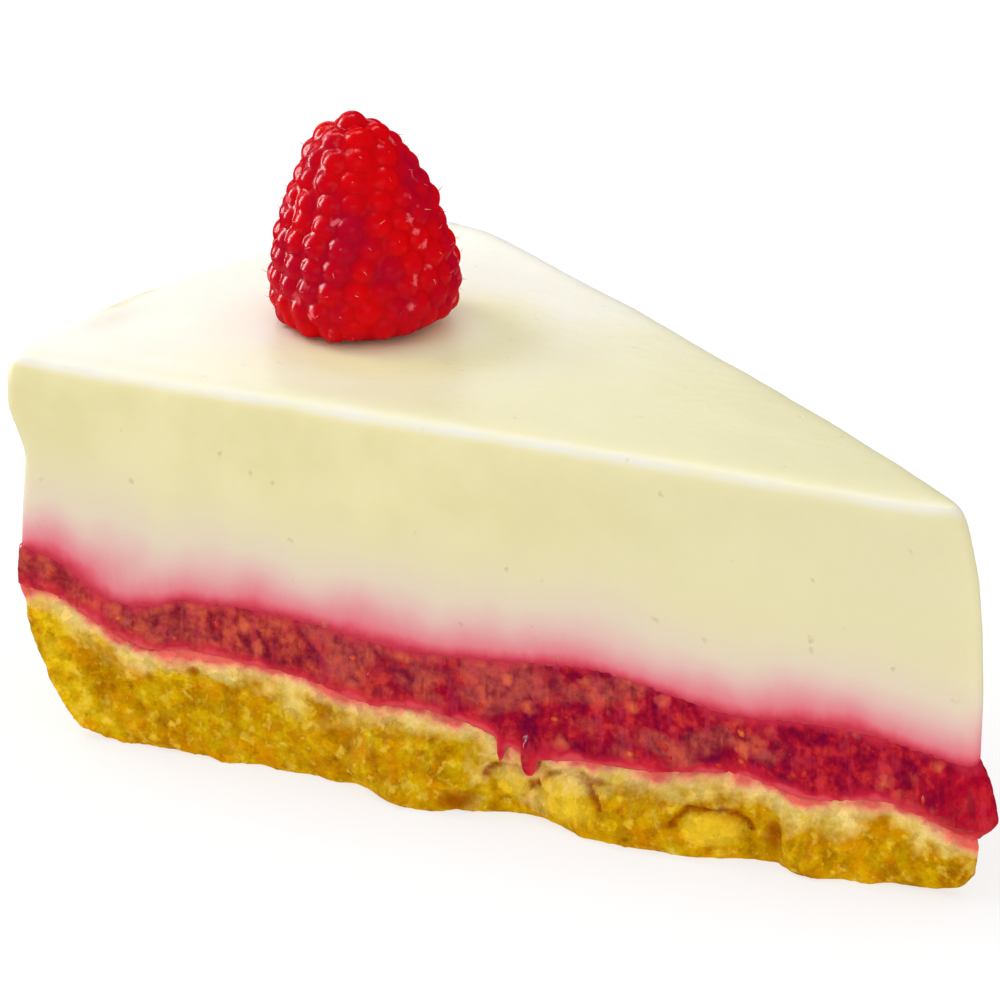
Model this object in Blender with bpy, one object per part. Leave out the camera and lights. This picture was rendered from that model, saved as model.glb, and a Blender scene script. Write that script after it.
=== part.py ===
"""A slice of raspberry cheesecake: a crumb base, a raspberry filling, a set cream and one raspberry on top.

The slice stands on its base, with its tip towards +X and the rim of the cake towards -X. The near cut faces -Y.
Lengths are in metres, and the origin is the middle of the slice's box, on the surface that it stands on.
"""

import math
import random
from bisect import bisect_right

import bmesh
import bpy
from mathutils import Matrix, Vector, noise

MM = 0.001

# The cake and the cut
CAKE_RADIUS = 112.8 * MM
HALF_ANGLE = math.radians(17.64)
CAKE_HEIGHT = 42 * MM
TIP_ROUND = 1.0 * MM
CORNER_ROUND = 0.8 * MM
CENTRE_OF_CAKE = Vector((56.76 * MM, -0.05 * MM, 0))
LAYER_GAP = 0.3 * MM
# The far cut isn't quite straight: it stands out this much at its middle
FAR_CUT_BOW = 1.0 * MM

# Places round the outline at which each layer has a point
POINTS_ON_CUT = 42
POINTS_ON_RIM = 24
POINTS_ON_TIP = 4
POINTS_ON_CORNER = 3
INNER_SHARE = 4

# Heights of the layers, as (distance from the cake's centre, height) along each cut
BASE_TOP_NEAR = ((2, 6.6), (12, 9.0), (20, 7.7), (28, 9.3), (38, 7.6), (46, 7.4), (51, 6.9), (57, 8.8),
                 (64, 10.0), (71, 9.5), (79, 11.2), (93, 11.9), (98, 11.2), (104, 13.3), (108, 15.6),
                 (113, 16.0))
BASE_TOP_FAR = ((2, 6.3), (17, 8.0), (37, 8.7), (57, 8.2), (77, 10.6), (97, 12.4), (112, 14.6))
FILLING_TOP_NEAR = ((2, 14.6), (6, 15.3), (12, 16.3), (20, 16.6), (29, 15.9), (36, 17.0), (44, 18.2),
                    (52, 17.7), (60, 17.0), (70, 16.9), (78, 18.0), (92, 17.9), (98, 16.2), (103, 17.0),
                    (107, 19.6), (113, 20.9))
FILLING_TOP_FAR = ((2, 15.1), (22, 16.7), (47, 18.3), (72, 18.5), (92, 17.5), (112, 19.6))
# Along the rim they rise and fall three times, on the outer part of the slice only
RIM_WAVE = 0.9 * MM
RIM_WAVES = 3
RIM_WAVE_FROM = 0.8 * CAKE_RADIUS
# Inside the slice a layer's surface runs from an inner ring, this share of the way in, to its middle
MIDDLE_OF_SLICE = 0.62 * CAKE_RADIUS
INNER_RING_INWARDS = 0.35

# The rim seen from its side, as (height, how far it stands back from the cake's radius)
RIM_SET_BACK = ((0, 12.0), (0.5, 9.5), (1.3, 7.4), (2.4, 6.0), (4, 5.0), (8, 3.1), (12.4, 1.6), (17, 0.7),
                (21, 1.1), (26, 1.5), (30.4, 1.9), (34.6, 0.2), (39, -0.4), (42, -0.1))
# The tip seen from its side, as (height, how far it stands back): it is worn round at the top and underneath
TIP_SET_BACK = ((0, 7.5), (0.35, 4.6), (1.1, 2.0), (2.6, 0.5), (6.6, 0.1), (15, 0), (31, 0.1),
                (34.6, 0.7), (37, 1.3), (39.5, 2.3), (42, 3.6))
TIP_REACH = 7 * MM
# Relief fades out towards the tip and, down to a share of its height, towards the corners of the rim
RELIEF_FROM_TIP = 14 * MM
RELIEF_FROM_CORNER = 7 * MM
RELIEF_AT_CORNER = 0.35

# Bulges of the crumb base beyond the cut, as (distance from the cake's centre, half width, bulge)
BASE_SET_BACK = 0.2 * MM
BASE_LOBES_NEAR = ((17.5, 6.5, 1.7), (38.5, 12.5, 3.1), (65, 9.0, 3.2))
BASE_LOBES_FAR = ((22, 8, 1.9), (48, 11, 2.6), (79, 13, 2.4))
BASE_FOOT = (0, 0.35 * MM, 1.1 * MM, 2.6 * MM)
BASE_STEPS = 5
FOOT_ROUND = 0.6 * MM
FOOT_ROUND_HEIGHT = 2.2 * MM
BULGE_BELOW_TOP = 3.5 * MM
CRUMB_SIZE = 5.2 * MM
CRUMB_RELIEF = 1.3 * MM
CRUMB_FINE_SIZE = 2.6 * MM
CRUMB_FINE_RELIEF = 0.5 * MM
# The crease between two crumbs is this steep, and the surface's mean lies at this share of a crumb's height
CREASE_SLOPE = 1.6
CRUMB_MEAN = 0.55

# The raspberry filling
FILLING_STEPS = 4
FILLING_RELIEF = 0.45 * MM
FILLING_LUMP = 4.5 * MM
# A lip squeezed out at the tip: how far it stands out, where it is fullest, and its width along the cut
TIP_LIP = 2.6 * MM
TIP_LIP_AT = 2 * MM
TIP_LIP_WIDTH = 4.5 * MM
TIP_LIP_FADE = 0.75
TIP_LIP_RISE = 0.2
SEED_SEMI_AXES = Vector((1.0, 0.65, 0.6)) * MM
SEEDS_ON_CUT = 15
SEEDS_ON_RIM = 8
SEED_SINK = 0.15 * MM
SEED_LOWEST = 0.22
SEED_RANGE = 0.56
SEED_STEP = 0.618
PLACES_LEFT_CLEAR = 4
# Drips down the near cut, as (distance from the cake's centre, top, bottom, half width)
DRIPS = ((51.6, 9.5, 5.2, 0.95), (55.0, 9.8, 6.0, 0.5))
DRIP_CLEARANCE = 0.35 * MM
DRIP_STANDS_OUT = 0.35

# The set cream
CREAM_STEPS = 4
EDGE_ROUND_NEAR = 2.4 * MM
EDGE_ROUND_FAR = 1.6 * MM
EDGE_ROUND_RIM = 1.3 * MM
EDGE_RIM_REACH = 4 * MM
EDGE_TIP_REACH = 9 * MM
EDGE_STEPS = 3
# Rings of points on the top, as (how far in towards the middle, how many outer points share one of theirs)
TOP_RINGS = ((0.08, 1), (0.2, 2), (0.42, 1), (0.7, 2))
TOP_WAVE = 0.35 * MM
TOP_WAVE_LENGTH = 26 * MM
FACE_WAVE = 0.22 * MM
FACE_WAVE_LENGTH = 12 * MM
FACE_WAVE_FROM = 4 * MM
CREAM_LIP = 0.25 * TIP_LIP
CREAM_LIP_HEIGHT = 5 * MM
# A shallow dent at the rim, as (distance from the cake's centre, share of the half angle, radius, depth)
RIM_DENT = (107, -0.55, 7, 0.9)
# The top sinks a little towards the far corner of the rim, in the same terms
FAR_CORNER_SAG = (114, 1.0, 14, 1.4)

# The raspberry on top
BERRY_PLACE = 87.2 * MM
BERRY_ACROSS = -0.4 * MM
BERRY_SEAT = 18 * MM
BERRY_LEAN = math.radians(4.4)
BERRY_LEAN_TOWARDS = math.radians(223.5)
# Outer radius of the raspberry at heights above its foot
BERRY_OUTLINE = ((-0.6, 6.9), (0.6, 9.0), (2.4, 10.0), (4.6, 10.2), (7.6, 9.75), (10.2, 9.15), (12.6, 8.4),
                 (14.8, 7.5), (17.1, 6.4), (19.3, 5.1), (21.2, 3.4), (22.4, 1.6), (22.9, 0))
BERRY_HEIGHT = 22.9 * MM
LOWEST_ROW = 1.3 * MM
DRUPELET_RADIUS = 1.5 * MM
DRUPELET_SPACING = 2.65 * MM
DRUPELET_ROW = 2.35 * MM
DRUPELET_INSET = 1.35 * MM
DRUPELET_SIZES = (0.93, 1.08)
DRUPELET_SHIFT = 0.1
DRUPELET_LIFT = 0.22 * MM
CREVICE_DEPTH = 0.95 * MM
ALONG_SIDE = 0.05 * MM
SLOPE_REACH = 0.2 * MM
CORE_FOOT = -0.4 * MM
CORE_TOP = BERRY_HEIGHT - 2.0 * MM
CORE_TIP = 0.4 * MM
CORE_SIDES = 20
CORE_RINGS = 9
DRUPELET_SIDES = 6
DRUPELET_RINGS = 4
BERRY_SEED = 11
SEED_SEED = 5

COLOURS = {
    "biscuit_base": ((0.55, 0.26, 0.03), 0.85),
    "raspberry_filling": ((0.42, 0.02, 0.035), 0.35),
    "cheesecake_cream": ((0.83, 0.76, 0.48), 0.5),
    "raspberry": ((0.56, 0.01, 0.025), 0.35),
}


def clear_scene():
    for obj in list(bpy.data.objects):
        bpy.data.objects.remove(obj)


def finish(name):
    """The named object's plain finish."""
    colour, roughness = COLOURS[name]
    material = bpy.data.materials.new(name)
    material.use_nodes = True
    shader = material.node_tree.nodes["Principled BSDF"]
    shader.inputs["Base Color"].default_value = (*colour, 1)
    shader.inputs["Roughness"].default_value = roughness
    shader.inputs["Metallic"].default_value = 0
    return material


def new_object(name, bm):
    mesh = bpy.data.meshes.new(name)
    bm.to_mesh(mesh)
    bm.free()
    obj = bpy.data.objects.new(name, mesh)
    bpy.context.scene.collection.objects.link(obj)
    return obj


def smooth_value(knots, at):
    """The value at a place, on a smooth curve through knots of (place, value), all in millimetres."""
    last = len(knots) - 1
    if at <= knots[0][0]:
        return knots[0][1]
    if at >= knots[last][0]:
        return knots[last][1]
    start = bisect_right([place for place, _ in knots], at) - 1

    def slope(i):
        before, after = knots[max(i - 1, 0)], knots[min(i + 1, last)]
        return (after[1] - before[1]) / (after[0] - before[0])

    (from_place, from_value), (to_place, to_value) = knots[start], knots[start + 1]
    width = to_place - from_place
    t = (at - from_place) / width
    return (
        from_value * (2 * t**3 - 3 * t**2 + 1)
        + to_value * (3 * t**2 - 2 * t**3)
        + slope(start) * width * (t**3 - 2 * t**2 + t)
        + slope(start + 1) * width * (t**3 - t**2)
    )


def ease(t):
    """0 to 1 with soft ends."""
    t = min(1.0, max(0.0, t))
    return t * t * (3 - 2 * t)


def bump(offset, half_width):
    """A rounded bump with a broad top: 1 at its middle and 0 at its edges."""
    d = min(1.0, abs(offset) / half_width)
    return (1 - d**4) ** 2


def dip(offset, half_width):
    """A shallow hollow with soft sides, in the same terms."""
    d = min(1.0, abs(offset) / half_width)
    return (1 - d**2) ** 2


class Place:
    """A place on the outline seen from above: its point from the cake's centre, the way out, and its face."""

    def __init__(self, point, out, face):
        self.point = point
        self.out = out
        self.face = face
        self.reach = point.length
        self.across = math.atan2(point.y, -point.x) / HALF_ANGLE

    def far_share(self):
        """0 at the near cut and 1 at the far cut."""
        return ease((self.across + 1) / 2)


def direction(angle):
    """The way from the cake's centre to the rim, at an angle from the slice's middle line."""
    return Vector((-math.cos(angle), math.sin(angle)))


def outline():
    """The places round the slice, from the tip along the near cut, the rim and the far cut."""
    places = []
    tip_centre = direction(0) * (TIP_ROUND / math.sin(HALF_ANGLE))
    tip_end = TIP_ROUND / math.tan(HALF_ANGLE)
    half_turn = math.pi / 2 - HALF_ANGLE
    for i in range(POINTS_ON_TIP):
        turn = half_turn - 2 * half_turn * (i + 0.5) / POINTS_ON_TIP
        out = Vector((math.cos(turn), math.sin(turn)))
        places.append(Place(tip_centre + out * TIP_ROUND, out, "tip"))
    for side, face in ((-1, "near"), (1, "far")):
        along = direction(side * HALF_ANGLE)
        out = Vector((math.sin(HALF_ANGLE), side * math.cos(HALF_ANGLE)))
        cut_end = CAKE_RADIUS - CORNER_ROUND
        cut = [
            Place(along * (tip_end + (cut_end - tip_end) * i / (POINTS_ON_CUT - 1)), out, face)
            for i in range(POINTS_ON_CUT)
        ]
        corner_centre = along * cut_end - out * CORNER_ROUND
        corner = []
        for i in range(1, POINTS_ON_CORNER):
            turn = math.pi / 2 * i / POINTS_ON_CORNER
            way = out * math.cos(turn) + along * math.sin(turn)
            corner.append(Place(corner_centre + way * CORNER_ROUND, way, "corner"))
        if face == "near":
            places += cut + corner
            rim_end = HALF_ANGLE - CORNER_ROUND / CAKE_RADIUS
            for i in range(POINTS_ON_RIM):
                way = direction(rim_end * (2 * i / (POINTS_ON_RIM - 1) - 1))
                places.append(Place(way * CAKE_RADIUS, way, "rim"))
        else:
            places += corner[::-1] + cut[::-1]
    return places


def layer_height(place_reach, far_share, near_knots, far_knots):
    """The height of the surface between two layers. Along the rim it also rises and falls a little."""
    reach = place_reach / MM
    near, far = smooth_value(near_knots, reach), smooth_value(far_knots, reach)
    height = (near + (far - near) * far_share) * MM
    rim_share = ease((place_reach - RIM_WAVE_FROM) / (CAKE_RADIUS - RIM_WAVE_FROM))
    wave = RIM_WAVE * math.sin(far_share * RIM_WAVES * math.pi) * math.sin(far_share * math.pi)
    return height + wave * rim_share


def base_top(reach, far_share):
    return layer_height(reach, far_share, BASE_TOP_NEAR, BASE_TOP_FAR)


def filling_top(reach, far_share):
    return layer_height(reach, far_share, FILLING_TOP_NEAR, FILLING_TOP_FAR)


def cream_top(point):
    """The height of the top at a point seen from above: level under the raspberry, and dented at the rim."""
    height = CAKE_HEIGHT + TOP_WAVE * noise.noise(Vector((*point, 0)) / TOP_WAVE_LENGTH)
    from_berry = (point - berry_foot().xy).length
    height += (CAKE_HEIGHT - height) * bump(from_berry, BERRY_SEAT)
    for reach, across, radius, depth in (RIM_DENT, FAR_CORNER_SAG):
        middle = direction(across * HALF_ANGLE) * reach * MM
        height -= depth * MM * dip((point - middle).length, radius * MM)
    return height


def berry_foot():
    """The middle of the raspberry's foot, from the cake's centre."""
    return Vector((-BERRY_PLACE, BERRY_ACROSS, CAKE_HEIGHT + LAYER_GAP))


def at_height(place, height, bulge):
    """The point of a layer's side at a place and a height, set back at the rim and the tip, then bulged."""
    rim_share = (place.reach / CAKE_RADIUS) ** 4
    set_back = smooth_value(RIM_SET_BACK, height / MM) * MM * rim_share
    point = place.point * (1 - set_back / place.reach)
    tip_share = math.exp(-((place.reach / TIP_REACH) ** 2))
    point = point + direction(0) * smooth_value(TIP_SET_BACK, height / MM) * MM * tip_share
    if place.face == "far":
        bulge += FAR_CUT_BOW * math.sin(math.pi * min(1.0, place.reach / CAKE_RADIUS))
    point = point + place.out * bulge
    return Vector((*point, height))


def face_share(place):
    """The share of the relief at a place: it fades out towards the tip and the corners of the rim."""
    from_rim = (CAKE_RADIUS - place.reach) if place.face in ("near", "far") else CAKE_RADIUS
    from_corner = CAKE_RADIUS * HALF_ANGLE * (1 - abs(place.across)) if place.face == "rim" else CAKE_RADIUS
    nearest = min(from_rim, from_corner)
    at_corner = RELIEF_AT_CORNER + (1 - RELIEF_AT_CORNER) * ease(nearest / RELIEF_FROM_CORNER)
    return ease(place.reach / RELIEF_FROM_TIP) * at_corner


def crumbs(point):
    """Relief of packed crumbs: rounded lumps with creases between them, and finer grains on those."""
    lumps = noise.voronoi(point / CRUMB_SIZE)[0]
    grains = noise.voronoi(point / CRUMB_FINE_SIZE)[0]
    coarse = min(1.0, (lumps[1] - lumps[0]) * CREASE_SLOPE) - CRUMB_MEAN
    fine = min(1.0, (grains[1] - grains[0]) * CREASE_SLOPE) - CRUMB_MEAN
    return CRUMB_RELIEF * coarse + CRUMB_FINE_RELIEF * fine


def base_bulge(place, height, top):
    """How far the crumb base stands out of the cut or the rim. It is flush with the filling at its top."""
    reach = place.reach / MM
    lobes = {"near": BASE_LOBES_NEAR, "far": BASE_LOBES_FAR}.get(place.face, ())
    lobe = sum(rise * bump(reach - middle, half) for middle, half, rise in lobes) * MM
    under = ease((top - height) / BULGE_BELOW_TOP)
    foot = FOOT_ROUND * (1 - min(1.0, height / FOOT_ROUND_HEIGHT)) ** 2
    relief = crumbs(Vector((*place.point, height)))
    if place.face in ("near", "far"):
        relief += lobe - BASE_SET_BACK
    return (relief * under - foot) * face_share(place)


def lip_share(place):
    """How near a place is to where the lip at the tip is fullest: 1 there and 0 well away."""
    return math.exp(-(((place.reach - TIP_LIP_AT) / TIP_LIP_WIDTH) ** 2))


def filling_bulge(place, height, bottom, top):
    """How far the filling stands out: it has soft lumps, and a lip squeezed out at the tip over the base."""
    share = (height - bottom) / (top - bottom)
    flush = math.sin(math.pi * share) ** 0.5 if 0 < share < 1 else 0
    lumps = FILLING_RELIEF * noise.noise(Vector((*place.point, height)) / FILLING_LUMP) * face_share(place)
    lip = TIP_LIP * lip_share(place) * (1 - TIP_LIP_FADE * share)
    return lumps * flush + lip * ease(share / TIP_LIP_RISE)


def cream_bulge(place, height, bottom):
    """How far the cream's side stands out: it is nearly flat, with a little of the filling's lip at the tip."""
    wave = FACE_WAVE * noise.noise(Vector((*place.point, height)) / FACE_WAVE_LENGTH) * face_share(place)
    above = height - bottom
    lip = CREAM_LIP * lip_share(place) * math.exp(-((above / CREAM_LIP_HEIGHT) ** 2))
    return wave * ease(above / FACE_WAVE_FROM) + lip


def surface(places, height_of, lift):
    """A layer's lower or upper surface: its outer ring, an inner ring of fewer points, and its middle."""
    middle = direction(0) * MIDDLE_OF_SLICE
    outer = []
    for place in places:
        height = height_of(place.reach, place.far_share())
        outer.append(at_height(place, height, 0) + Vector((0, 0, lift)))
    inner = []
    for i in range(0, len(places), INNER_SHARE):
        flat = outer[i].xy.lerp(middle, INNER_RING_INWARDS)
        across = math.atan2(flat.y, -flat.x) / HALF_ANGLE
        height = height_of(flat.length, ease((across + 1) / 2))
        inner.append(Vector((*flat, height + lift)))
    return outer, inner, Vector((*middle, height_of(MIDDLE_OF_SLICE, 0.5) + lift))


def add_band(bm, lower, upper):
    """Faces between two rings of points, where the second has as many as the first or a share of them."""
    count, share = len(lower), len(lower) // len(upper)
    for i in range(count):
        here, following = i // share, (i // share + (i % share == share - 1)) % len(upper)
        if share == 1:
            following = (i + 1) % count
            bm.faces.new((lower[i], lower[(i + 1) % count], upper[following], upper[i]))
            continue
        bm.faces.new((lower[i], lower[(i + 1) % count], upper[here]))
        if following != here:
            bm.faces.new((lower[(i + 1) % count], upper[following], upper[here]))


def add_cap(bm, outer, inner_points, middle_point):
    """Faces that close a ring: a band to the inner ring, and a fan from that to the middle."""
    inner = [bm.verts.new(point) for point in inner_points]
    middle = bm.verts.new(middle_point)
    add_band(bm, outer, inner)
    for i, vert in enumerate(inner):
        bm.faces.new((vert, inner[(i + 1) % len(inner)], middle))


def add_sides(bm, rings):
    """Faces up the side of a layer, and its rings of vertices."""
    made = [[bm.verts.new(point) for point in ring] for ring in rings]
    for lower, upper in zip(made, made[1:]):
        add_band(bm, lower, upper)
    return made


def close_up(name, bm):
    """The finished layer: faces turned outwards, and the whole moved from the cake's centre to its place."""
    bmesh.ops.triangulate(bm, faces=bm.faces, quad_method="SHORT_EDGE")
    bmesh.ops.recalc_face_normals(bm, faces=bm.faces)
    bmesh.ops.translate(bm, verts=bm.verts, vec=CENTRE_OF_CAKE)
    obj = new_object(name, bm)
    obj.data.materials.append(finish(name))
    return obj


def biscuit_base(places):
    """The base of pressed biscuit crumbs, thick at the rim and thin at the tip."""
    bm = bmesh.new()
    outer, inner, middle = surface(places, base_top, -LAYER_GAP / 2)
    tops = [point.z for point in outer]
    rings = []
    for foot in BASE_FOOT:
        rings.append([at_height(p, foot, base_bulge(p, foot, top)) for p, top in zip(places, tops)])
    for step in range(1, BASE_STEPS):
        ring = []
        for place, top in zip(places, tops):
            height = BASE_FOOT[-1] + (top - BASE_FOOT[-1]) * step / BASE_STEPS
            ring.append(at_height(place, height, base_bulge(place, height, top)))
        rings.append(ring)
    rings.append(outer)
    made = add_sides(bm, rings)
    add_cap(bm, made[-1], inner, middle)
    bm.faces.new(made[0])
    return close_up("biscuit_base", bm)


def filling_point(place, share):
    """A point on the filling's side, at a share of its height."""
    bottom = base_top(place.reach, place.far_share()) + LAYER_GAP / 2
    top = filling_top(place.reach, place.far_share()) - LAYER_GAP / 2
    height = bottom + (top - bottom) * share
    return at_height(place, height, filling_bulge(place, height, bottom, top))


def raspberry_filling(places):
    """The layer of set raspberry filling that runs through the slice."""
    bm = bmesh.new()
    low_outer, low_inner, low_middle = surface(places, base_top, LAYER_GAP / 2)
    top_outer, top_inner, top_middle = surface(places, filling_top, -LAYER_GAP / 2)
    rings = [low_outer]
    for step in range(1, FILLING_STEPS):
        rings.append([filling_point(place, step / FILLING_STEPS) for place in places])
    rings.append(top_outer)
    made = add_sides(bm, rings)
    add_cap(bm, made[0], low_inner, low_middle)
    add_cap(bm, made[-1], top_inner, top_middle)
    return close_up("raspberry_filling", bm)


def cheesecake_cream(places):
    """The thick layer of set cream, with rounded top edges."""
    bm = bmesh.new()
    low_outer, low_inner, low_middle = surface(places, filling_top, LAYER_GAP / 2)
    rings = [low_outer]
    rounds = []
    for place in places:
        from_rim = ease((CAKE_RADIUS - place.reach) / EDGE_RIM_REACH)
        cut_round = EDGE_ROUND_NEAR + (EDGE_ROUND_FAR - EDGE_ROUND_NEAR) * place.far_share()
        rounds.append(EDGE_ROUND_RIM + (cut_round - EDGE_ROUND_RIM) * from_rim)
    shoulders = [cream_top(p.point) - edge for p, edge in zip(places, rounds)]
    for step in range(1, CREAM_STEPS + 1):
        ring = []
        for place, low, shoulder in zip(places, low_outer, shoulders):
            height = low.z + (shoulder - low.z) * step / CREAM_STEPS
            ring.append(at_height(place, height, cream_bulge(place, height, low.z)))
        rings.append(ring)
    for step in range(1, EDGE_STEPS + 1):
        turn = math.pi / 2 * step / EDGE_STEPS
        ring = []
        for place, edge, shoulder in zip(places, rounds, shoulders):
            height = shoulder + edge * math.sin(turn)
            slim = min(1.0, place.reach / EDGE_TIP_REACH)
            ring.append(at_height(place, height, -edge * (1 - math.cos(turn)) * slim))
        rings.append(ring)
    made = add_sides(bm, rings)
    add_cap(bm, made[0], low_inner, low_middle)
    shrunk = made[-1]
    middle = direction(0) * MIDDLE_OF_SLICE
    for inwards, share in TOP_RINGS:
        flats = [vert.co.xy.lerp(middle, inwards) for vert in shrunk[::share]]
        ring = [bm.verts.new((*flat, cream_top(flat))) for flat in flats]
        add_band(bm, shrunk, ring)
        shrunk = ring
    centre = bm.verts.new((*middle, cream_top(middle)))
    for i, vert in enumerate(shrunk):
        bm.faces.new((vert, shrunk[(i + 1) % len(shrunk)], centre))
    return close_up("cheesecake_cream", bm)


def ellipsoid(name, centre, semi_axes, turn, segments, rings):
    """A round body with its poles along its own Z, turned and then placed."""
    bm = bmesh.new()
    bmesh.ops.create_uvsphere(bm, u_segments=segments, v_segments=rings, radius=1)
    bmesh.ops.scale(bm, verts=bm.verts, vec=semi_axes)
    bmesh.ops.transform(bm, verts=bm.verts, matrix=Matrix.Translation(centre) @ turn.to_4x4())
    return new_object(name, bm)


def join(obj, pieces, solver):
    """Fuses the pieces into the object with one union, and removes them."""
    group = bpy.data.collections.new(obj.name + "_pieces")
    for piece in pieces:
        bpy.context.scene.collection.objects.unlink(piece)
        group.objects.link(piece)
    bpy.context.scene.collection.children.link(group)
    union = obj.modifiers.new("Fuse", "BOOLEAN")
    union.operation = "UNION"
    union.operand_type = "COLLECTION"
    union.collection = group
    union.solver = solver
    bake_modifiers(obj)
    for piece in pieces:
        bpy.data.objects.remove(piece)
    bpy.data.collections.remove(group)


def bake_modifiers(obj):
    """Replaces the object's mesh by what its modifiers make of it."""
    graph = bpy.context.evaluated_depsgraph_get()
    baked = bpy.data.meshes.new_from_object(obj.evaluated_get(graph))
    obj.modifiers.clear()
    obj.data = baked


def drip(name, drip_sizes, extra):
    """A drip of filling down the near cut, from inside the filling to over the base."""
    reach, top, bottom, half_width = drip_sizes
    along = direction(-HALF_ANGLE)
    out = Vector((math.sin(HALF_ANGLE), -math.cos(HALF_ANGLE), 0))
    sideways = Vector((*along, 0))
    centre = Vector((*(along * reach * MM), (top + bottom) / 2 * MM)) + out * DRIP_STANDS_OUT * half_width * MM
    turn = Matrix((sideways, out, (0, 0, 1))).transposed()
    semi_axes = Vector((half_width * MM + extra, half_width * MM + extra, (top - bottom) / 2 * MM + extra))
    return ellipsoid(name, centre + CENTRE_OF_CAKE, semi_axes, turn, 10, 8)


def cut_by_drips(base):
    """Grooves in the base that keep it clear of the drips in front of it."""
    for number, sizes in enumerate(DRIPS):
        cutter = drip(f"drip_groove_{number}", sizes, DRIP_CLEARANCE)
        cutter.hide_render = True
        cutter.display_type = "WIRE"
        groove = base.modifiers.new(f"Groove {number}", "BOOLEAN")
        groove.operation = "DIFFERENCE"
        groove.object = cutter


def seed_pieces(places):
    """Seeds that lie half out of the filling along the cuts and the rim."""
    chance = random.Random(SEED_SEED)
    pieces = []
    for face, count in (("near", SEEDS_ON_CUT), ("rim", SEEDS_ON_RIM), ("far", SEEDS_ON_CUT)):
        spots = [place for place in places if place.face == face]
        stretch = len(spots) - 1 - 2 * PLACES_LEFT_CLEAR
        for i in range(count):
            place = spots[round(PLACES_LEFT_CLEAR + stretch * (i + chance.uniform(0.2, 0.8)) / count)]
            share = SEED_LOWEST + SEED_RANGE * ((i * SEED_STEP) % 1) + chance.uniform(-0.05, 0.05)
            out = Vector((*place.out, 0))
            along = Vector((-place.out.y, place.out.x, 0))
            spin = chance.uniform(0, math.pi)
            length_way = along * math.cos(spin) + Vector((0, 0, 1)) * math.sin(spin)
            turn = Matrix((length_way, out.cross(length_way), out)).transposed()
            centre = filling_point(place, share) - out * SEED_SINK + CENTRE_OF_CAKE
            pieces.append(ellipsoid(f"seed_{face}_{i}", centre, SEED_SEMI_AXES, turn, 6, 4))
    return pieces


def berry_radius(height):
    """The raspberry's outer radius at a height above its foot."""
    return smooth_value(BERRY_OUTLINE, height / MM) * MM


def berry_rows():
    """Heights of the rows of drupelets, a row's width apart along the raspberry's side."""
    height, travelled, rows = LOWEST_ROW, 0.0, [LOWEST_ROW]
    while height < BERRY_HEIGHT - DRUPELET_RADIUS:
        slope = (berry_radius(height + ALONG_SIDE) - berry_radius(height)) / ALONG_SIDE
        travelled += ALONG_SIDE * math.hypot(1, slope)
        height += ALONG_SIDE
        if travelled >= DRUPELET_ROW:
            rows.append(height)
            travelled = 0.0
    return rows


def drupelets():
    """Each drupelet as its middle, the way out and its size, in the raspberry's own upright frame."""
    chance = random.Random(BERRY_SEED)
    found = []
    for row, height in enumerate(berry_rows()):
        slope = (berry_radius(height + SLOPE_REACH) - berry_radius(height - SLOPE_REACH)) / (2 * SLOPE_REACH)
        tilt = math.atan(-slope)
        middle_radius = berry_radius(height) - DRUPELET_INSET * math.cos(tilt)
        middle_height = height - DRUPELET_INSET * math.sin(tilt)
        count = max(3, round(2 * math.pi * middle_radius / DRUPELET_SPACING))
        for i in range(count):
            shift = 0.5 * (row % 2) + chance.uniform(-DRUPELET_SHIFT, DRUPELET_SHIFT)
            angle = 2 * math.pi * (i + shift) / count
            size = DRUPELET_RADIUS * chance.uniform(*DRUPELET_SIZES)
            lift = chance.uniform(-DRUPELET_LIFT, DRUPELET_LIFT)
            around = Vector((math.cos(angle), math.sin(angle), 0))
            middle = around * middle_radius + Vector((0, 0, middle_height + lift))
            out = around * math.cos(tilt) + Vector((0, 0, 1)) * math.sin(tilt)
            found.append((middle, out, size))
    found.append((Vector((0, 0, BERRY_HEIGHT - DRUPELET_RADIUS)), Vector((0, 0, 1)), DRUPELET_RADIUS))
    return found


def berry_core():
    """The solid heart of the raspberry that the drupelets are fused to."""
    bm = bmesh.new()
    profile = []
    for i in range(CORE_RINGS):
        height = CORE_FOOT + (CORE_TOP - CORE_FOOT) * i / (CORE_RINGS - 1)
        profile.append((max(CORE_TIP, berry_radius(height) - CREVICE_DEPTH), height))
    rings = []
    for radius, height in profile:
        ring = [
            Vector((radius * math.cos(turn), radius * math.sin(turn), height))
            for turn in (2 * math.pi * k / CORE_SIDES for k in range(CORE_SIDES))
        ]
        rings.append(ring)
    made = add_sides(bm, rings)
    bm.faces.new(made[0])
    bm.faces.new(made[-1])
    bmesh.ops.recalc_face_normals(bm, faces=bm.faces)
    return new_object("raspberry", bm)


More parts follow.
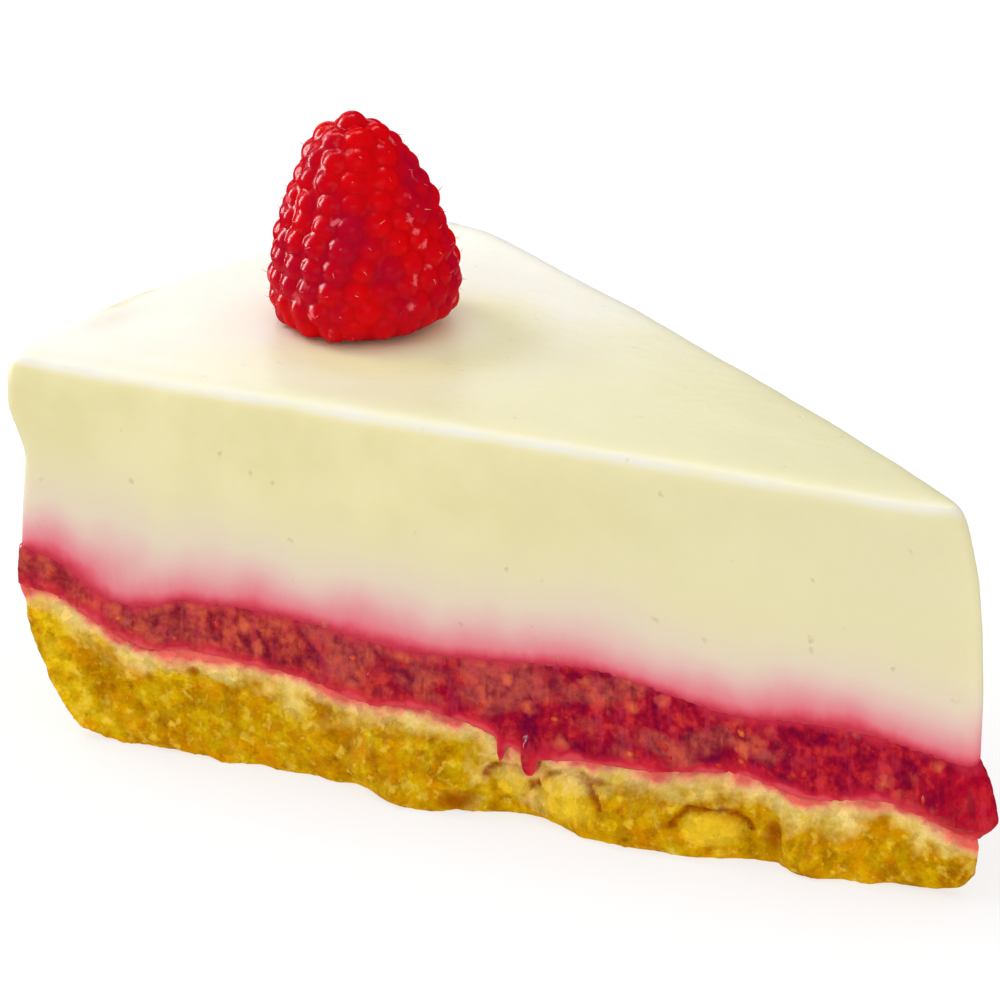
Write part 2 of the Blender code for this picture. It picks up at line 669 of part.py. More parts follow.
def raspberry():
    """The raspberry, point up, on its open end. Its foot is cut level where it rests on the cream."""
    core = berry_core()
    pieces = []
    for number, (middle, out, size) in enumerate(drupelets()):
        turn = out.to_track_quat("Z", "Y").to_matrix()
        semi_axes = Vector((size, size, size))
        pieces.append(ellipsoid(f"drupelet_{number}", middle, semi_axes, turn, DRUPELET_SIDES, DRUPELET_RINGS))
    join(core, pieces, "MANIFOLD")
    towards = Vector((math.cos(BERRY_LEAN_TOWARDS), math.sin(BERRY_LEAN_TOWARDS), 0))
    lean = Matrix.Rotation(BERRY_LEAN, 4, Vector((0, 0, 1)).cross(towards))
    foot = berry_foot() + CENTRE_OF_CAKE
    core.data.transform(Matrix.Translation(foot) @ lean)
    bm = bmesh.new()
    bmesh.ops.create_cube(bm, size=2 * BERRY_HEIGHT)
    bmesh.ops.translate(bm, verts=bm.verts, vec=foot - Vector((0, 0, BERRY_HEIGHT)))
    below = new_object("below_the_foot", bm)
    level = core.modifiers.new("Level foot", "BOOLEAN")
    level.operation = "DIFFERENCE"
    level.object = below
    level.solver = "MANIFOLD"
    bake_modifiers(core)
    bpy.data.objects.remove(below)
    core.data.materials.append(finish("raspberry"))
    return core


def main():
    clear_scene()
    places = outline()
    base = biscuit_base(places)
    cut_by_drips(base)
    filling = raspberry_filling(places)
    pieces = seed_pieces(places)
    pieces += [drip(f"drip_{number}", sizes, 0) for number, sizes in enumerate(DRIPS)]
    join(filling, pieces, "MANIFOLD")
    cream = cheesecake_cream(places)
    berry = raspberry()
    for obj in (base, filling, cream, berry):
        obj.data.shade_smooth()
        obj.data.set_sharp_from_angle(angle=math.radians(40))


main()
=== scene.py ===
"""A slice of raspberry cheesecake on a white table, dressed round its solids, in metres with +Z up."""

import math
import random
from bisect import bisect_right

import bpy
from mathutils import Matrix, Vector
from mathutils.bvhtree import BVHTree
from mathutils.kdtree import KDTree


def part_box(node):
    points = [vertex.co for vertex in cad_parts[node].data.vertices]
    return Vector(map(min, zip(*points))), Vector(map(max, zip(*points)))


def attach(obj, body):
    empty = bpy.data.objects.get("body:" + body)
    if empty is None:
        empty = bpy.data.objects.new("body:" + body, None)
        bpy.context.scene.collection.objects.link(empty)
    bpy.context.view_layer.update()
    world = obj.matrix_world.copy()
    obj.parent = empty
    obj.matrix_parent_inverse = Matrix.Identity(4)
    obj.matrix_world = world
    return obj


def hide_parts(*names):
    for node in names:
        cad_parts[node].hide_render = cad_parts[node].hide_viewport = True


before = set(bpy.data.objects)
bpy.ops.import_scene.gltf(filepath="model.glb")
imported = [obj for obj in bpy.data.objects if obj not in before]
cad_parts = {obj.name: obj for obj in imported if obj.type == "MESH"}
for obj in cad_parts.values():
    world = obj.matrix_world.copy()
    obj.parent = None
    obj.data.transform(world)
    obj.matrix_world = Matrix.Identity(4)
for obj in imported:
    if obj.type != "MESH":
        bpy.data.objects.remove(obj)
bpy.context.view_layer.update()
MM = 0.001

# The biscuit base: crushed golden biscuits bound with butter and pressed into the tin, then baked.
# The knife has broken it out into lumps and crevices, and its top has drawn a little juice.
BASE_GRAIN = 0.37 * MM
BASE_PASSES = 4
BASE_LAP = 0.6 * MM
CRUMB_SIZE = 2.3 * MM
CRUMB_DEPTH = 0.7 * MM
GRIT_SIZE = 0.8 * MM
GRIT_DEPTH = 0.25 * MM
JUICE_REACH = 5.0 * MM
RELIEF_FROM_SEAM = 1.4 * MM
RELIEF_FROM_FOOT = 2.5 * MM
RELIEF_AT_FOOT = 0.3
CAKE_CENTRE = Vector((56.76, -0.05, 0)) * MM
CAKE_RADIUS = 112.8 * MM
HALF_ANGLE = math.radians(17.64)
NEAR, FAR = -1, 1
CUT_SKIN = 4 * MM
# Larger lumps in the cuts, in millimetres: the cut, the distance from the cake's centre, the height,
# and half the width and height
LUMPS = ((NEAR, 53.8, 3.9, 2.5, 1.8), (NEAR, 47.4, 3.5, 3.9, 2.7), (NEAR, 30.6, 3.5, 3.4, 2.1),
         (FAR, 34.0, 3.6, 3.6, 2.3), (FAR, 61.0, 4.4, 4.4, 2.6), (FAR, 83.0, 5.0, 3.4, 2.6))
LUMP_RISE = 0.6 * MM
LUMP_WOBBLE = 0.5
CREASE_AT = 1.12
CREASE_WIDTH = 0.14
CREASE_BELOW = 0.15
# Hollows where crumbs have fallen out, given in the same way
HOLLOWS = ((NEAR, 59.2, 1.3, 2.8, 1.8), (NEAR, 24.6, 3.4, 1.8, 2.2), (NEAR, 91.2, 9.6, 0.9, 0.9),
           (NEAR, 68.9, 9.2, 0.9, 0.7), (NEAR, 44.5, 6.3, 2.7, 0.45), (FAR, 50.0, 5.5, 2.2, 0.9),
           (FAR, 95.0, 6.5, 1.2, 1.1))
CREASE_DEPTH = 0.5 * MM
PAINTED_LIGHT_BY_RIM = (-54 * MM, -43 * MM)
WELD = 0.01 * MM
LEVEL = 0.5


def hold(piece):
    """Makes the piece the only selected one."""
    bpy.ops.object.select_all(action="DESELECT")
    piece.select_set(True)
    bpy.context.view_layer.objects.active = piece


def use(piece, kind, **settings):
    """Adds a modifier to the piece with these settings, and applies it."""
    hold(piece)
    modifier = piece.modifiers.new(kind.title(), kind)
    for name, value in settings.items():
        setattr(modifier, name, value)
    bpy.ops.object.modifier_apply(modifier=modifier.name)


def copy_of(node, name):
    """A whole mesh in the form of one of the slice's solids."""
    piece = bpy.data.objects.new(name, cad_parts[node].data.copy())
    bpy.context.scene.collection.objects.link(piece)
    piece.data.materials.clear()
    hold(piece)
    bpy.ops.object.mode_set(mode="EDIT")
    bpy.ops.mesh.select_all(action="SELECT")
    bpy.ops.mesh.remove_doubles(threshold=WELD)
    bpy.ops.mesh.normals_make_consistent(inside=False)
    bpy.ops.object.mode_set(mode="OBJECT")
    return piece


def lap(piece, over, under):
    """Carries a layer's top and bottom into its neighbours, so that no gap shows between the layers."""
    rises = [vertex.normal.z for vertex in piece.data.vertices]
    for vertex, rise in zip(piece.data.vertices, rises):
        if rise > LEVEL:
            vertex.co.z += over
        elif rise < -LEVEL:
            vertex.co.z -= under


def refine(piece, grain, passes):
    """Gives the piece an even skin of small faces, softened a little."""
    use(piece, "REMESH", mode="VOXEL", voxel_size=grain, use_smooth_shade=True)
    use(piece, "SMOOTH", factor=0.5, iterations=passes)


def note(piece, name, values):
    """Keeps a value at each point as an attribute, for the material."""
    notes = piece.data.attributes.new(name, "FLOAT", "POINT")
    notes.data.foreach_set("value", values)


def skin_of(piece):
    """The piece's faces, ready for finding the nearest point on them or the point that a ray meets."""
    corners = [vertex.co for vertex in piece.data.vertices]
    return BVHTree.FromPolygons(corners, [face.vertices for face in piece.data.polygons])


def distances(piece, other, furthest):
    """Each point's distance from another object, in millimetres."""
    skin = skin_of(other)
    found = [skin.find_nearest(vertex.co, furthest)[3] for vertex in piece.data.vertices]
    return [(furthest if d is None else d) / MM for d in found]


def ease(t):
    """0 to 1 with soft ends."""
    t = min(1.0, max(0.0, t))
    return t * t * (3 - 2 * t)


def on_cut(side, place):
    """A place beside a cut: its distance from the cake's centre, its height and how far it stands out."""
    along = Vector((-math.cos(HALF_ANGLE), side * math.sin(HALF_ANGLE), 0))
    out = Vector((math.sin(HALF_ANGLE), side * math.cos(HALF_ANGLE), 0))
    return (place - CAKE_CENTRE).dot(along), place.z, (place - CAKE_CENTRE).dot(out)


def from_middle(place, side, distance, height, half_width, half_height):
    """0 in the middle of an oval on a cut, 1 on its edge, and without end below the cut's skin."""
    along, up, outwards = on_cut(side, place)
    if outwards < -CUT_SKIN:
        return math.inf
    return math.hypot((along / MM - distance) / half_width, (up / MM - height) / half_height)


def weigh(piece, name, weights):
    """A vertex group with these weights."""
    group = piece.vertex_groups.new(name=name)
    for index, weight in enumerate(weights):
        group.add([index], weight, "REPLACE")


def clouds_of(size, basis="BLENDER_ORIGINAL"):
    """Cloudy values in space, in patches of about this size."""
    clouds = bpy.data.textures.new("clouds", "CLOUDS")
    clouds.noise_scale = size
    clouds.noise_basis = basis
    return clouds


def roughen(piece, size, depth, group, basis="BLENDER_ORIGINAL"):
    """Raises and sinks the skin by clouds of about this size, as far as the vertex group lets it."""
    clouds = clouds_of(size, basis)
    use(piece, "DISPLACE", texture=clouds, texture_coords="LOCAL", strength=depth, vertex_group=group)


def paint(red, green, blue):
    """A colour as it looks, with parts from 0 to 255, as the shader's own values."""
    def part(value):
        value /= 255
        return value / 12.92 if value <= 0.04045 else ((value + 0.055) / 1.055) ** 2.4

    return (part(red), part(green), part(blue), 1)


class Finish:
    """A material on the piece, whose nodes are added one at a time. Sockets n0, n1, ... go by number."""

    def __init__(self, piece, name, **settings):
        self.material = bpy.data.materials.new(name)
        self.material.use_nodes = True
        self.tree = self.material.node_tree
        self.shader = self.tree.nodes["Principled BSDF"]
        self.place = self.add("TexCoord").outputs["Object"]
        self.set(self.shader, settings)
        piece.data.materials.clear()
        piece.data.materials.append(self.material)

    def set(self, node, settings):
        """Sets the node's sockets, or links those whose value comes from another node."""
        for name, value in settings.items():
            numbered = name[0] == "n" and name[1:].isdigit()
            socket = node.inputs[int(name[1:])] if numbered else node.inputs[name]
            if isinstance(value, bpy.types.NodeSocket):
                self.tree.links.new(value, socket)
            else:
                socket.default_value = value

    def add(self, kind, settings=None, **choices):
        """A new node, with its sockets as in settings and its options as in choices."""
        node = self.tree.nodes.new("ShaderNode" + kind)
        for name, value in choices.items():
            setattr(node, name, value)
        self.set(node, settings or {})
        return node

    def attribute(self, name):
        """A value noted at each point."""
        return self.add("Attribute", attribute_name=name).outputs["Fac"]

    def noise(self, size, detail=2.0, rough=0.5, stretch=(1, 1, 1), shift=0.0):
        """Cloudy values from 0 to 1, in patches of about this size."""
        moved = {"Vector": self.place, "Scale": stretch, "Location": (shift, shift, shift)}
        at = self.add("Mapping", moved).outputs["Vector"]
        settings = {"Vector": at, "Scale": 1 / size, "Detail": detail, "Roughness": rough}
        return self.add("TexNoise", settings).outputs["Fac"]

    def wander(self, size, far, detail=2.0, rough=0.5, stretch=(1, 1, 1), shift=0.0):
        """A value that drifts up and down by about this much, in patches of about this size."""
        return self.spread(self.noise(size, detail, rough, stretch, shift), 0.3, 0.7, -far, far)

    def shaken(self, size, far):
        """The place, moved about as far as this by clouds a third of the size."""
        shake = self.add("TexNoise", {"Vector": self.place, "Scale": 3 / size}).outputs["Color"]
        moved = {"n0": shake, "n1": (far, far, far), "n2": self.place}
        return self.add("VectorMath", moved, operation="MULTIPLY_ADD").outputs["Vector"]

    def cells(self, size, shaken):
        """Distances, in cells, from points about this far apart, which shaking makes irregular."""
        at = self.shaken(size, shaken)
        return self.add("TexVoronoi", {"Vector": at, "Scale": 1 / size}).outputs["Distance"]

    def crumbs(self, size, shaken):
        """Patches of about this size, each with a value of its own from 0 to 1 and an irregular edge."""
        at = self.shaken(size, shaken)
        colour = self.add("TexVoronoi", {"Vector": at, "Scale": 1 / size}).outputs["Color"]
        return self.add("SeparateColor", {"Color": colour}).outputs["Red"]

    def distance_from(self, point, stretch=(1, 1, 1)):
        """How far each place is from a point, when both are first stretched."""
        at = self.add("Mapping", {"Vector": self.place, "Scale": stretch}).outputs["Vector"]
        stretched = Vector(point) * Vector(stretch)
        return self.add("VectorMath", {"n0": at, "n1": stretched}, operation="DISTANCE").outputs["Value"]

    def sums(self, operation, *values):
        """Two or three values put together by this operation."""
        settings = {f"n{i}": value for i, value in enumerate(values)}
        return self.add("Math", settings, operation=operation).outputs["Value"]

    def blend_of(self, *parts):
        """The sum of several values, each times its share."""
        total = 0.0
        for value, share in parts:
            total = self.sums("MULTIPLY_ADD", value, share, total)
        return total

    def spread(self, value, low, high, to_low=0.0, to_high=1.0):
        """The value carried from one range to another, and held at its ends."""
        settings = {"Value": value, "From Min": low, "From Max": high, "To Min": to_low, "To Max": to_high}
        return self.add("MapRange", settings).outputs["Result"]

    def ramp(self, value, stops):
        """Colours along a value, as (value, colour)."""
        node = self.add("ValToRGB", {"Fac": value})
        marks = node.color_ramp.elements
        for mark, (position, colour) in zip((marks[0], marks[-1]), (stops[0], stops[-1])):
            mark.position = position
            mark.color = colour
        for position, colour in stops[1:-1]:
            marks.new(position).color = colour
        return node.outputs["Color"]

    def grey(self, value):
        """A grey as bright as the value."""
        return self.add("CombineColor", {"Red": value, "Green": value, "Blue": value}).outputs["Color"]

    def mix(self, share, below, above, blend="MIX"):
        """One colour over another, by this share."""
        node = self.add("Mix", data_type="RGBA", blend_type=blend)
        self.set(node, {"n0": share, "n6": below, "n7": above})
        return node.outputs[2]

    def bump(self, height, depth):
        """Relief too fine for the mesh: where the height is 1 it stands out by this depth."""
        return self.add("Bump", {"Height": height, "Distance": depth, "Strength": 1.0}).outputs["Normal"]


base = copy_of("biscuit_base", "biscuit_base_crumb")
lap(base, BASE_LAP, 0)
refine(base, BASE_GRAIN, BASE_PASSES)
from_filling = distances(base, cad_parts["raspberry_filling"], JUICE_REACH)
note(base, "juice", from_filling)
clouds = clouds_of(CRUMB_SIZE)
domes, dents, open_skin = [], [], []
for vertex, distance in zip(base.data.vertices, from_filling):
    dome = dent = 0.0
    wobble = 1 + LUMP_WOBBLE * (clouds.evaluate(vertex.co)[3] - 0.5)
    for side, along, height, half_width, half_height in LUMPS:
        reach = from_middle(vertex.co, side, along, height, half_width, half_height) * wobble
        upper = 1 if vertex.co.z > height * MM else CREASE_BELOW
        dome = max(dome, 1 - reach * reach)
        dent = max(dent, upper * math.exp(-((reach - CREASE_AT) / CREASE_WIDTH) ** 2))
    for hollow in HOLLOWS:
        dent = max(dent, 1 - (from_middle(vertex.co, *hollow) * wobble) ** 2)
    clear = ease(distance * MM / RELIEF_FROM_SEAM)
    domes.append(dome * clear)
    dents.append(dent * clear)
    open_skin.append(clear * (RELIEF_AT_FOOT + (1 - RELIEF_AT_FOOT) * ease(vertex.co.z / RELIEF_FROM_FOOT)))
for name, weights in (("domes", domes), ("dents", dents), ("open", open_skin)):
    weigh(base, name, weights)
note(base, "dent", dents)
note(base, "dome", domes)
use(base, "DISPLACE", strength=LUMP_RISE, mid_level=0, vertex_group="domes")
use(base, "DISPLACE", strength=-CREASE_DEPTH, mid_level=0, vertex_group="dents")
roughen(base, CRUMB_SIZE, CRUMB_DEPTH, "open")
roughen(base, GRIT_SIZE, GRIT_DEPTH, "open")
for vertex in base.data.vertices:
    vertex.co.z = max(0, vertex.co.z)

crumb = Finish(base, "pressed_biscuit", Roughness=0.85)
crumb.set(crumb.shader, {
    "Specular IOR Level": 0.02,
    "Subsurface Weight": 0.15,
    "Subsurface Radius": (1, 0.6, 0.1),
    "Subsurface Scale": 1.2 * MM,
})
patches = crumb.noise(5 * MM)
grains = crumb.noise(1.7 * MM, shift=6)
grit = crumb.noise(0.6 * MM, 2, 0.6, shift=3)
tone = crumb.blend_of((patches, 0.45), (grains, 0.35), (grit, 0.2))
golden = crumb.ramp(tone, (
    (0.36, paint(158, 98, 0)),
    (0.43, paint(182, 126, 0)),
    (0.49, paint(196, 146, 0)),
    (0.54, paint(204, 160, 2)),
    (0.59, paint(214, 174, 18)),
    (0.66, paint(230, 198, 76)),
))
amber = crumb.spread(crumb.noise(3.6 * MM, shift=9), 0.47, 0.62, 0, 0.55)
crumb_colour = crumb.mix(amber, golden, paint(210, 136, 0))
# Pale golden specks on the crumb, partly its own colour and partly painted highlights.
pale_specks_and_glints = crumb.spread(crumb.noise(1.3 * MM, shift=7), 0.58, 0.68, 0, 0.6)
crumb_colour = crumb.mix(pale_specks_and_glints, crumb_colour, paint(230, 194, 62))
toasted = crumb.spread(crumb.noise(2.0 * MM, 3, 0.6, shift=11), 0.3, 0.42, 0.55, 0)
crumb_colour = crumb.mix(toasted, crumb_colour, paint(174, 92, 0))
# Painted highlight: the domes of the larger crumb masses are painted paler gold, as if lit from above.
painted_lump_highlight = crumb.spread(crumb.attribute("dome"), 0, 0.6, 0, 0.7)
crumb_colour = crumb.mix(painted_lump_highlight, crumb_colour, paint(238, 198, 44))
uneven_soak = crumb.spread(crumb.noise(5 * MM, 3, 0.6, shift=5), 0.35, 0.65, -1.4, 2.2)
soaked = crumb.sums("ADD", crumb.attribute("juice"), uneven_soak)
pale = crumb.mix(crumb.spread(tone, 0.42, 0.58), paint(226, 190, 70), paint(243, 218, 144))
crumb_colour = crumb.mix(crumb.spread(soaked, 0.5, 3.6, 0.88, 0), crumb_colour, pale)
# Painted light: the base is painted brighter and more golden towards the left rim, where its curved edge
# catches the light.
from_rim = crumb.add("SeparateXYZ", {"Vector": crumb.place}).outputs["X"]
from_rim = crumb.sums("ADD", from_rim, crumb.spread(tone, 0.4, 0.6, 4 * MM, -4 * MM))
painted_rim_light = crumb.spread(from_rim, *PAINTED_LIGHT_BY_RIM, 0.8, 0)
crumb_colour = crumb.mix(painted_rim_light, crumb_colour, paint(246, 202, 24))
# Painted shade: the crevices round the large crumbs and the hollows are painted dark brown.
painted_crevice_shade = crumb.spread(crumb.attribute("dent"), 0.2, 0.9, 0, 0.75)
crumb_colour = crumb.mix(painted_crevice_shade, crumb_colour, paint(150, 58, 0))
reddened = crumb.sums("ADD", crumb.attribute("juice"), crumb.wander(4.5 * MM, 0.9, shift=2))
juicy_edge = crumb.ramp(reddened, (
    (0.0, paint(226, 92, 88)),
    (0.45, paint(236, 148, 116)),
    (1.0, paint(240, 196, 132)),
))
crumb_colour = crumb.mix(crumb.spread(reddened, 0.2, 1.6, 0.95, 0), crumb_colour, juicy_edge)
sand = crumb.noise(0.45 * MM, 2, 0.6, shift=8)
brightness = crumb.blend_of((crumb.crumbs(1.1 * MM, 0.8 * MM), 0.5), (sand, 0.5))
brightness = crumb.spread(brightness, 0.2, 0.8, 0.79, 1.16)
crumb_colour = crumb.mix(1.0, crumb_colour, crumb.grey(brightness), "MULTIPLY")
crumb_relief = crumb.bump(crumb.noise(0.4 * MM), 0.12 * MM)
crumb.set(crumb.shader, {"Base Color": crumb_colour, "Normal": crumb_relief})
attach(base, "root")
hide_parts("biscuit_base")

# The raspberry filling: raspberries cooked down and set, so it is moist, lumpy and full of pips.
# It was spread on the base, and the cut has dragged it into small drips and out at the tip.
FILLING_GRAIN = 0.36 * MM
FILLING_PASSES = 1
FILLING_LAP = 0.15 * MM
FILLING_PROUD = 0.05 * MM
PULP_SIZE = 2.4 * MM
PULP_DEPTH = 0.5 * MM
BEAD_SIZE = 1.0 * MM
BEAD_DEPTH = 0.35 * MM
SEAM_REACH = 4 * MM
SCARLET_BY_RIM = (-28 * MM, -10 * MM)
RARER_FILM_TO_TIP = (-5 * MM, 30 * MM)
BRIGHTER_AT_TIP = (48 * MM, 56 * MM)

filling = copy_of("raspberry_filling", "raspberry_filling_pulp")
lap(filling, FILLING_LAP, 0)
refine(filling, FILLING_GRAIN, FILLING_PASSES)
below_cream = distances(filling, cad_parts["cheesecake_cream"], SEAM_REACH)
note(filling, "below_cream", below_cream)
note(filling, "above_base", distances(filling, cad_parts["biscuit_base"], SEAM_REACH))
clear_of_seam = [ease(distance * MM / RELIEF_FROM_SEAM) for distance in below_cream]
weigh(filling, "open", clear_of_seam)
weigh(filling, "seam", [1 - weight for weight in clear_of_seam])
roughen(filling, PULP_SIZE, PULP_DEPTH, "open", "IMPROVED_PERLIN")
roughen(filling, BEAD_SIZE, BEAD_DEPTH, "open", "ORIGINAL_PERLIN")
use(filling, "DISPLACE", strength=FILLING_PROUD, mid_level=0, vertex_group="seam")

pulp = Finish(filling, "set_raspberry", Roughness=0.3, IOR=1.36)
pulp.set(pulp.shader, {
    "Specular IOR Level": 0.08,
    "Subsurface Weight": 0.15,
    "Subsurface Radius": (1, 0.1, 0.1),
    "Subsurface Scale": 1.0 * MM,
    "Coat Weight": 0.1,
    "Coat Roughness": 0.1,
})
coarse = pulp.noise(3 * MM, shift=8)
fine = pulp.noise(1.1 * MM, 3, 0.6)
tone = pulp.blend_of((coarse, 0.45), (fine, 0.55))
crimson = pulp.ramp(tone, (
    (0.38, paint(118, 0, 48)),
    (0.45, paint(146, 4, 42)),
    (0.52, paint(170, 16, 40)),
    (0.62, paint(200, 46, 48)),
))
brownish = pulp.ramp(tone, (
    (0.38, paint(144, 36, 48)),
    (0.5, paint(174, 70, 64)),
    (0.62, paint(204, 88, 64)),
))
scarlet = pulp.ramp(tone, (
    (0.36, paint(120, 20, 42)),
    (0.48, paint(168, 52, 50)),
    (0.6, paint(202, 90, 60)),
))
towards_tip = pulp.add("SeparateXYZ", {"Vector": pulp.place}).outputs["X"]
smears = pulp.noise(7 * MM, stretch=(1, 1, 1.6), shift=1)
rarer = pulp.spread(towards_tip, *RARER_FILM_TO_TIP, 0, 0.12)
film = pulp.spread(pulp.sums("SUBTRACT", smears, rarer), 0.42, 0.54)
from_rim = pulp.sums("ADD", towards_tip, pulp.spread(smears, 0.3, 0.7, -12 * MM, 12 * MM))
pulp_colour = pulp.mix(pulp.sums("MULTIPLY", film, 0.85), crimson, brownish)
pulp_colour = pulp.mix(pulp.spread(from_rim, *SCARLET_BY_RIM, 0.75, 0), pulp_colour, scarlet)
pulp_colour = pulp.mix(pulp.spread(towards_tip, *BRIGHTER_AT_TIP, 0, 0.6), pulp_colour, paint(196, 0, 36))
seeds_under = pulp.spread(pulp.cells(3.6 * MM, 1.6 * MM), 0.1, 0.3, 0.8, 0)
seedy = pulp.spread(pulp.noise(5 * MM, 1, shift=6), 0.4, 0.55)
seeds_under = pulp.sums("MULTIPLY", seeds_under, seedy)
pulp_colour = pulp.mix(seeds_under, pulp_colour, paint(228, 104, 70))
drawn = pulp.noise(1.3 * MM, 2, 0.6, stretch=(1, 1, 0.25), shift=5)
pulp_colour = pulp.mix(pulp.spread(drawn, 0.55, 0.66, 0, 0.5), pulp_colour, paint(122, 0, 34))
pulp_colour = pulp.mix(pulp.spread(drawn, 0.44, 0.34, 0, 0.3), pulp_colour, paint(214, 60, 84))
dark_pits = pulp.spread(pulp.cells(2.6 * MM, 1.2 * MM), 0.05, 0.2, 0.6, 0)
pulp_colour = pulp.mix(dark_pits, pulp_colour, paint(104, 0, 44))
ragged = pulp.wander(3.2 * MM, 0.6, shift=4)
near_cream = pulp.sums("ADD", pulp.attribute("below_cream"), ragged)
pulp_colour = pulp.mix(pulp.spread(near_cream, 0.2, 1.1, 0.7, 0), pulp_colour, paint(202, 44, 68))
near_base = pulp.sums("ADD", pulp.attribute("above_base"), ragged)
soft_edge = pulp.ramp(near_base, ((0.4, paint(224, 78, 88)), (0.95, paint(212, 34, 58))))
pulp_colour = pulp.mix(pulp.spread(near_base, 0.6, 1.9, 0.85, 0), pulp_colour, soft_edge)
pulp.set(pulp.shader, {
    "Base Color": pulp_colour,
    "Roughness": pulp.spread(film, 0, 1, 0.26, 0.42),
    "Normal": pulp.bump(pulp.noise(0.5 * MM), 0.08 * MM),
})
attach(filling, "root")
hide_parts("raspberry_filling")

# The pips: raspberry seeds caught in the filling, pale orange and hard, half sunk in its cut faces.
# Each is a small flattened bean, and most are still coated with pulp.
PIP_LENGTH = 1.5 * MM
PIP_SQUASH = (1, 0.68, 0.5)
PIP_SINK = 0.22 * MM
PIP_FROM_SEAM = 1.0 * MM
PIPS_EACH_CUT = 80
PIPS_ON_RIM = 50
PIP_HEIGHTS = (7 * MM, 20 * MM)
PIP_SIZES = (0.6, 1.0)
PIP_SEED = 3
PIPS_ALONG_CUT = (0.02, 0.98)
PIPS_ALONG_RIM = 0.95
SEARCH_FROM = 20 * MM
SEARCH_BEYOND = 6 * MM


def join(pieces, name):
    """Makes one piece of several."""
    hold(pieces[0])
    for piece in pieces:
        piece.select_set(True)
    bpy.ops.object.join()
    joined = bpy.context.view_layer.objects.active
    joined.name = joined.data.name = name
    return joined


def copies(model, places, name):
    """One piece made of a copy of the model at each of these places. The model itself is removed."""
    pieces = []
    for place in places:
        body = model.copy()
        body.data = model.data.copy()
        body.data.transform(place)
        bpy.context.scene.collection.objects.link(body)
        pieces.append(body)
    bpy.data.objects.remove(model)
    return join(pieces, name)


bpy.ops.object.select_all(action="DESELECT")
bpy.ops.mesh.primitive_uv_sphere_add(segments=10, ring_count=7, radius=PIP_LENGTH / 2)
pip = bpy.context.object
bpy.ops.object.mode_set(mode="EDIT")
bpy.ops.transform.resize(value=PIP_SQUASH)
bpy.ops.object.mode_set(mode="OBJECT")
bpy.ops.object.shade_smooth()

chance = random.Random(PIP_SEED)
filling_skin = skin_of(filling)
neighbours = [skin_of(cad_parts[node]) for node in ("cheesecake_cream", "biscuit_base")]
pip_places = []
for side, count in ((NEAR, PIPS_EACH_CUT), (FAR, PIPS_EACH_CUT), (0, PIPS_ON_RIM)):
    for _ in range(count):
        angle = (side or chance.uniform(-PIPS_ALONG_RIM, PIPS_ALONG_RIM)) * HALF_ANGLE
        along = Vector((-math.cos(angle), math.sin(angle), 0))
        out = Vector((math.sin(HALF_ANGLE), side * math.cos(HALF_ANGLE), 0)) if side else along
        reach = chance.uniform(*PIPS_ALONG_CUT) * CAKE_RADIUS if side else CAKE_RADIUS
        start = CAKE_CENTRE + along * reach + out * SEARCH_FROM
        start.z = chance.uniform(*PIP_HEIGHTS)
        point, normal = filling_skin.ray_cast(start, -out)[:2]
        spin = chance.uniform(0, math.tau)
        size = chance.uniform(*PIP_SIZES)
        if point is None or (point - start).length > SEARCH_FROM + SEARCH_BEYOND:
            continue
        if any(skin.find_nearest(point, PIP_FROM_SEAM)[0] for skin in neighbours):
            continue
        turn = normal.to_track_quat("Z", "Y").to_matrix().to_4x4() @ Matrix.Rotation(spin, 4, "Z")
        sunk = Matrix.Translation(point - normal * PIP_SINK)
        pip_places.append(sunk @ turn @ Matrix.Scale(size, 4))
pips = copies(pip, pip_places, "filling_pips")
note(pips, "proud", distances(pips, filling, MM))
seed_coat = Finish(pips, "raspberry_pip", Roughness=0.3)
seed_coat.set(seed_coat.shader, {
    "Specular IOR Level": 0.1,
    "Subsurface Weight": 0.3,
    "Subsurface Radius": (1, 0.4, 0.2),
    "Subsurface Scale": 0.8 * MM,
})
seed_colour = seed_coat.ramp(seed_coat.noise(2.2 * MM, 2, 0.6), (
    (0.36, paint(190, 30, 36)),
    (0.5, paint(222, 84, 44)),
    (0.62, paint(234, 138, 66)),
    (0.72, paint(240, 186, 104)),
))
coated = seed_coat.spread(seed_coat.attribute("proud"), 0.02, 0.16, 1, 0)
seed_coat.set(seed_coat.shader, {"Base Color": seed_coat.mix(coated, seed_colour, paint(190, 24, 34))})
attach(pips, "root")

# The cream: cream cheese and cream whipped smooth and set cold, dense, even and slightly translucent.
# The knife has rounded its edges, small air bubbles show with painted shade in their pits, and juice has
# stained it pink above the filling.
# Where the berry's shadow falls, the cream is painted more yellow and lighter as painted shadow, and it is
# tan in a patch on the rim's edge. Its top carries a painted sheen and its top edge a painted highlight.
CREAM_GRAIN = 0.45 * MM
CREAM_PASSES = 12
CREAM_LAP = 2.0 * MM
STAIN_REACH = 20 * MM
TUCK_BESIDE = 0.3 * MM
TUCK_FROM = 0.3 * MM
TUCK_OVER = 0.9 * MM
TUCK_DEPTH = 0.35 * MM
FLUSH_REACH = 1 * MM
RIPPLE_SIZE = 14 * MM
RIPPLE_DEPTH = 0.5 * MM
DIMPLE_SIZE = 4 * MM
DIMPLE_DEPTH = 0.1 * MM
EDGE_REACH = 4 * MM
EDGE_PASSES = 40
